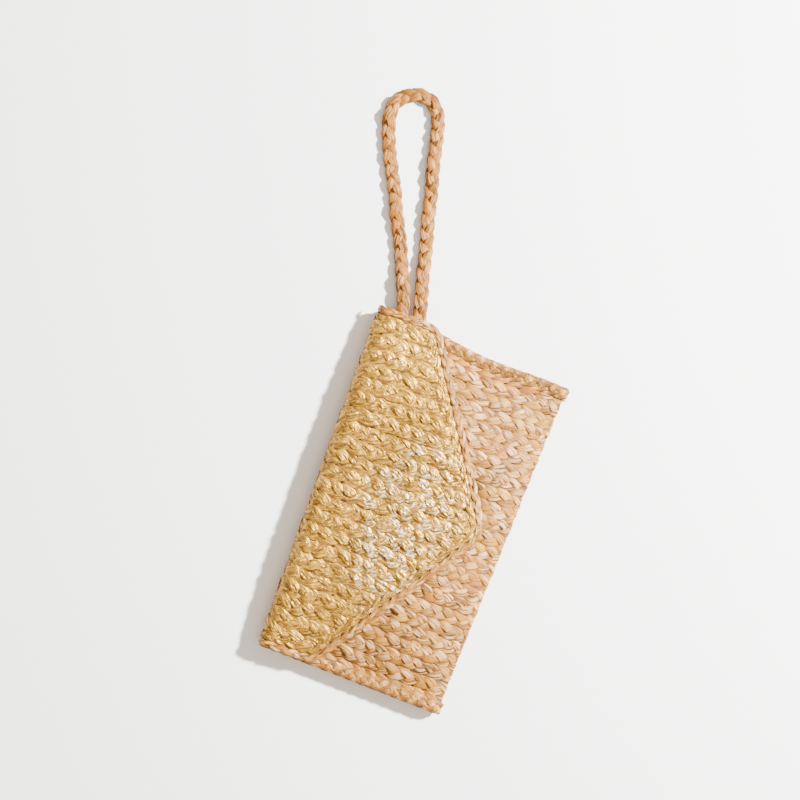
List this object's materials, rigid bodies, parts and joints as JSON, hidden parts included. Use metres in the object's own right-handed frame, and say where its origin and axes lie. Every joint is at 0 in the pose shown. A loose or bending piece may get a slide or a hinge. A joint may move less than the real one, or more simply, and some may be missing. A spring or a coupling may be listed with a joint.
{
  "type": "envelope clutch purse",
  "caption": "Envelope clutch of sewn straw braid with a pointed folding flap, a magnetic snap and a braided wrist loop on one side.",
  "frame": {"origin": "middle of the back panel's flat underside, on the surface that the clutch lies on", "axes": "+X towards the side with the wrist loop, +Y towards the top fold that the flap turns over, +Z out of the flap"},
  "size_m": [0.4334, 0.1994, 0.0275],
  "materials": {
    "natural_straw": "plaited natural straw, satin",
    "gilt_straw": "plaited straw brushed with gold paint",
    "cotton_lining": "plain cotton, matt",
    "brass": "polished",
    "steel": "plated",
    "magnet": "dark ceramic magnet, matt"
  },
  "bodies": {
    "body": {"body_panel": "natural_straw", "pouch_lining": "cotton_lining", "side_binding_left": "natural_straw", "side_binding_right": "natural_straw", "mouth_binding": "natural_straw", "snap_socket_plate": "steel", "snap_magnet": "magnet", "snap_socket_cap": "brass", "snap_socket_washer": "steel"},
    "flap": {"flap_panel": "gilt_straw", "flap_lining": "cotton_lining", "flap_border": "natural_straw", "snap_stud": "brass", "snap_stud_washer": "steel"},
    "wrist_loop": {"wrist_loop": "natural_straw"}
  },
  "joints": [
    {"name": "flap_hinge", "type": "hinge", "parent": "body", "child": "flap", "pos_m": [0, 0.075, 0.0102], "axis": [-1, 0, 0], "range_deg": [0, 165]},
    {"name": "loop_hinge", "type": "hinge", "parent": "body", "child": "wrist_loop", "pos_m": [0.1354, 0.0494, 0.00655], "axis": [0, -1, 0], "range_deg": [0, 90]}
  ]
}
